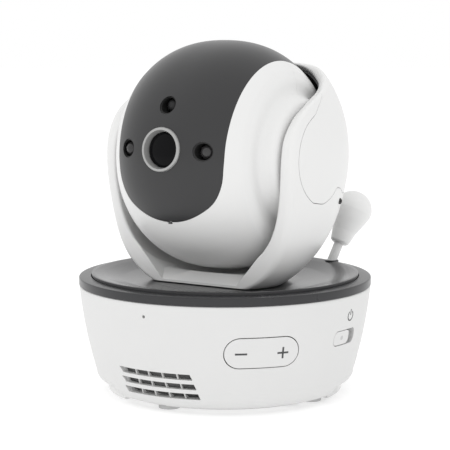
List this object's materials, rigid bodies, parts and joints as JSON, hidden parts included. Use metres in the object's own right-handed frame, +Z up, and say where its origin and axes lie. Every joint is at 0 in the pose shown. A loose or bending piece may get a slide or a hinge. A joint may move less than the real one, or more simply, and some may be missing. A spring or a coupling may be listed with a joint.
{
  "type": "baby monitor camera",
  "caption": "Pan and tilt nursery camera: a ball head with lens and infrared lamps in a hooded yoke on a round base.",
  "frame": {"origin": "on the floor under the middle of the round base, which is also the middle of the keyhole pair", "axes": "-Y is the front, where the lens and the grille are; +X is the side of the power slider; +Z is up along the pan axis"},
  "size_m": [0.1, 0.1059, 0.1198],
  "materials": {
    "white_shell": "satin moulded plastic, fine texture",
    "white_trim": "smooth moulded plastic",
    "dark_satin": "satin dark grey plastic",
    "shield": "semi-gloss dark grey plastic",
    "glossy_plate": "polished dark plastic",
    "black_plastic": "matt moulded plastic",
    "nylon": "natural nylon",
    "board": "solder mask",
    "steel": "plain steel",
    "lens_metal": "bright satin ring",
    "rubber": "soft rubber",
    "glass": "coated lens glass",
    "lamp": "tinted clear resin",
    "grille_cloth": "fine woven mesh",
    "grey_button": "matt plastic"
  },
  "bodies": {
    "base": {"base_housing": "white_shell", "bottom_cover": "white_shell", "rubber_feet": "rubber", "base_screws": "steel", "top_ring": "dark_satin", "top_plate": "glossy_plate", "pan_bush": "nylon", "speaker_frame": "black_plastic", "speaker_cone": "black_plastic", "speaker_magnet": "steel", "speaker_mesh": "grille_cloth", "main_board": "board", "board_chips": "black_plastic", "dc_jack": "black_plastic", "microphone": "steel", "pan_motor": "steel", "button_board": "board", "volume_switches": "steel", "rocker_bracket": "white_trim", "power_switch": "steel", "pair_switch": "black_plastic", "sensor_grommet": "dark_satin", "sensor_stalk": "white_shell", "sensor_bulb": "white_trim", "thermistor": "black_plastic"},
    "yoke": {"yoke_front": "white_shell", "yoke_back_cover": "white_shell", "hood_liner": "black_plastic", "pan_spindle": "nylon", "pan_gear": "nylon", "spindle_clip": "steel", "yoke_screws": "steel", "pivot_stub_right": "nylon", "pivot_stub_left": "nylon", "tilt_gear": "nylon"},
    "head": {"head_front_shell": "white_shell", "head_rear_shell": "white_shell", "face_shield": "shield", "lens_ring": "lens_metal", "lens_barrel": "black_plastic", "lens_glass": "glass", "lamp_board": "board", "infrared_lamps": "lamp", "light_sensor": "lamp", "image_board": "board", "head_chassis": "nylon", "tilt_motor": "steel", "head_screws": "steel"},
    "pan_drive": {"pan_pinion": "nylon", "pan_motor_shaft": "steel"},
    "tilt_drive": {"tilt_pinion": "nylon", "tilt_motor_shaft": "steel"},
    "volume_key": {"volume_rocker": "white_trim"},
    "power_key": {"power_slider": "white_trim"},
    "pair_key": {"pair_button": "grey_button"}
  },
  "joints": [
    {"name": "pan", "type": "hinge", "parent": "base", "child": "yoke", "pos_m": [0, 0, 0.0384], "axis": [0, 0, 1], "range_deg": [-135, 135]},
    {"name": "tilt", "type": "hinge", "parent": "yoke", "child": "head", "pos_m": [0, 0, 0.081], "axis": [-1, 0, 0], "range_deg": [-36, 84]},
    {"name": "pan_pinion_spin", "type": "hinge", "parent": "base", "child": "pan_drive", "pos_m": [-0.02364, 0.00417, 0.029], "axis": [0, 0, 1], "range_deg": [-545, 545]},
    {"name": "tilt_pinion_spin", "type": "hinge", "parent": "head", "child": "tilt_drive", "pos_m": [0.023, 0.01, 0.06851], "axis": [-1, 0, 0], "range_deg": [-110, 255]},
    {"name": "volume_rock", "type": "hinge", "parent": "base", "child": "volume_key", "pos_m": [0.03094, -0.02885, 0.0217], "axis": [0, 0, 1], "range_deg": [-2.5, 2.5], "stiffness_Nm_per_rad": 0.4},
    {"name": "power_slide", "type": "slide", "parent": "base", "child": "power_key", "axis": [0.0436, 0.999, 0], "range_m": [0, 0.0034]},
    {"name": "pair_press", "type": "slide", "parent": "base", "child": "pair_key", "axis": [0, 0, 1], "range_m": [0, 0.0006], "stiffness_N_per_m": 300}
  ],
  "couplings": [
    {"joint": "pan_pinion_spin", "follows": "pan", "ratio": -4},
    {"joint": "tilt_pinion_spin", "follows": "tilt", "ratio": 3}
  ]
}
